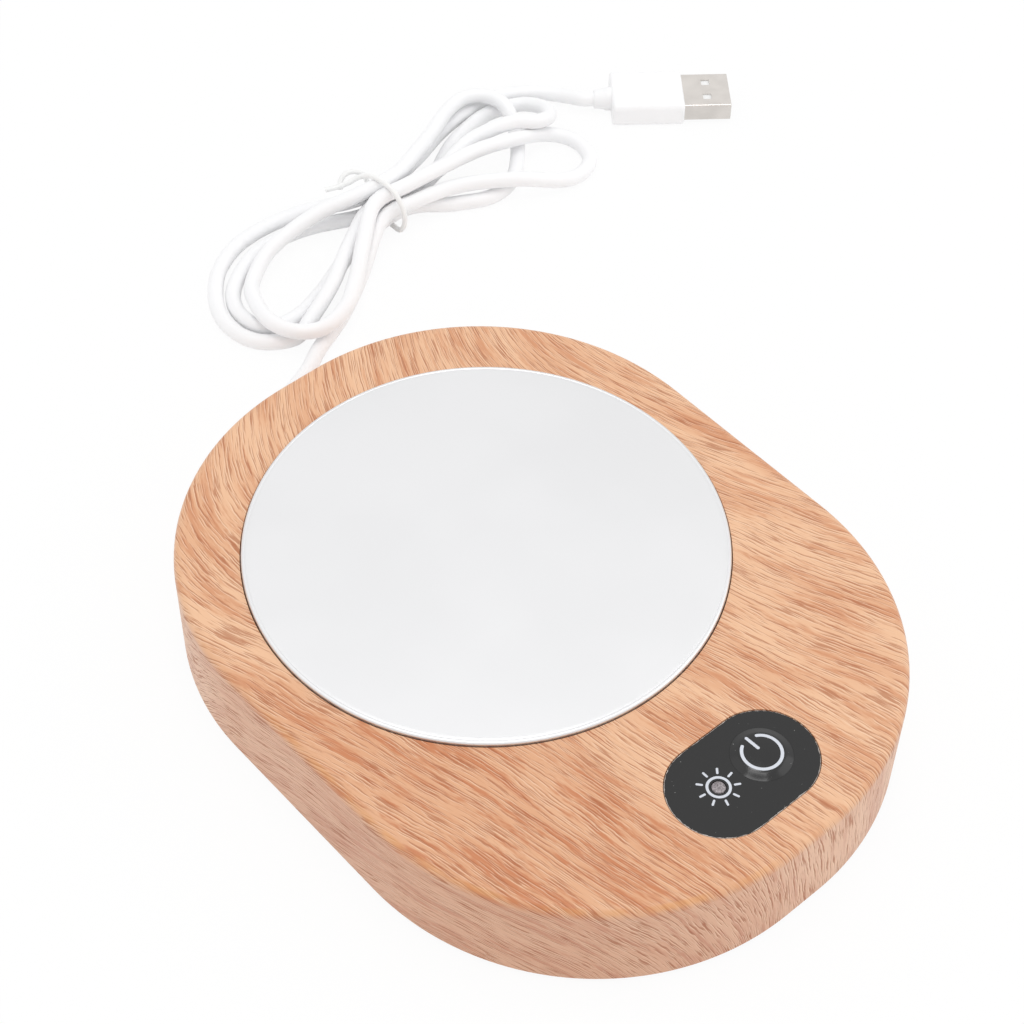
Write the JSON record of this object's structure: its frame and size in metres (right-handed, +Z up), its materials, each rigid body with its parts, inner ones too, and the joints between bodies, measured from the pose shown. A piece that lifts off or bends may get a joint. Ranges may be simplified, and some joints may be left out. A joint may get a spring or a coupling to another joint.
{
  "type": "electric mug warmer",
  "caption": "Flat rounded-end warmer with a wood-grain case, a round metal heating plate, a domed press button, a status light and a tied supply cord with a plug.",
  "frame": {"origin": "on the surface that the warmer stands on, under the middle of the case", "axes": "+Z up; +Y along the case from the button end to the heating plate and the cord; +X to the right of someone at the button end"},
  "size_m": [0.2059, 0.2064, 0.0233],
  "materials": {
    "wood_grain": "light oak wood-grain film, satin",
    "cover_plastic": "moulded, fine texture",
    "screw_steel": "zinc plated",
    "foot_rubber": "matt",
    "plate_metal": "satin silver coating",
    "seal_rubber": "matt",
    "heater_film": "heater film with etched track",
    "insulation": "pressed fibre",
    "bracket_steel": "pressed sheet",
    "copper": "bare",
    "fuse_ceramic": "glazed",
    "wire_red": "silicone",
    "wire_black": "silicone",
    "panel_black": "fine satin film",
    "mark_white": "printed",
    "board_green": "solder mask",
    "chip_black": "moulded",
    "light_lens": "frosted lens",
    "can_sleeve": "shrink sleeve",
    "cord_white": "soft satin",
    "clamp_plastic": "moulded",
    "tie_white": "coated wire",
    "plug_steel": "nickel plated, satin",
    "tongue_white": "moulded",
    "contact_brass": "gold flashed"
  },
  "bodies": {
    "case": {"housing": "wood_grain", "bottom_cover": "cover_plastic", "cover_screws": "screw_steel", "rubber_feet": "foot_rubber", "heating_plate": "plate_metal", "plate_gasket": "seal_rubber", "heater_element": "heater_film", "insulation_pad": "insulation", "heater_retainer": "bracket_steel", "retainer_screws": "screw_steel", "temperature_sensor": "copper", "thermal_fuse": "fuse_ceramic", "fuse_clip": "bracket_steel", "heater_leads": "wire_red", "sensor_leads": "wire_black", "control_panel": "panel_black", "panel_marks": "mark_white", "circuit_board": "board_green", "board_screws": "screw_steel", "switch_body": "chip_black", "status_light": "light_lens", "microcontroller": "chip_black", "power_transistor": "chip_black", "capacitor": "can_sleeve", "chip_resistors": "chip_black", "cord_grommet": "cord_white", "cord_clamp": "clamp_plastic", "clamp_screws": "screw_steel", "cord_tail": "cord_white", "supply_wires": "wire_red", "power_cord": "cord_white", "twist_tie": "tie_white", "plug_grip": "cord_white", "plug_shell": "plug_steel", "plug_tongue": "tongue_white", "plug_contacts": "contact_brass"},
    "button": {"power_button": "panel_black", "button_sign": "mark_white", "switch_plunger": "chip_black"}
  },
  "joints": [
    {"name": "button_press", "type": "slide", "parent": "case", "child": "button", "axis": [0, 0, -1], "range_m": [0, 0.00035], "stiffness_N_per_m": 4000, "springref_m": -0.00005}
  ]
}
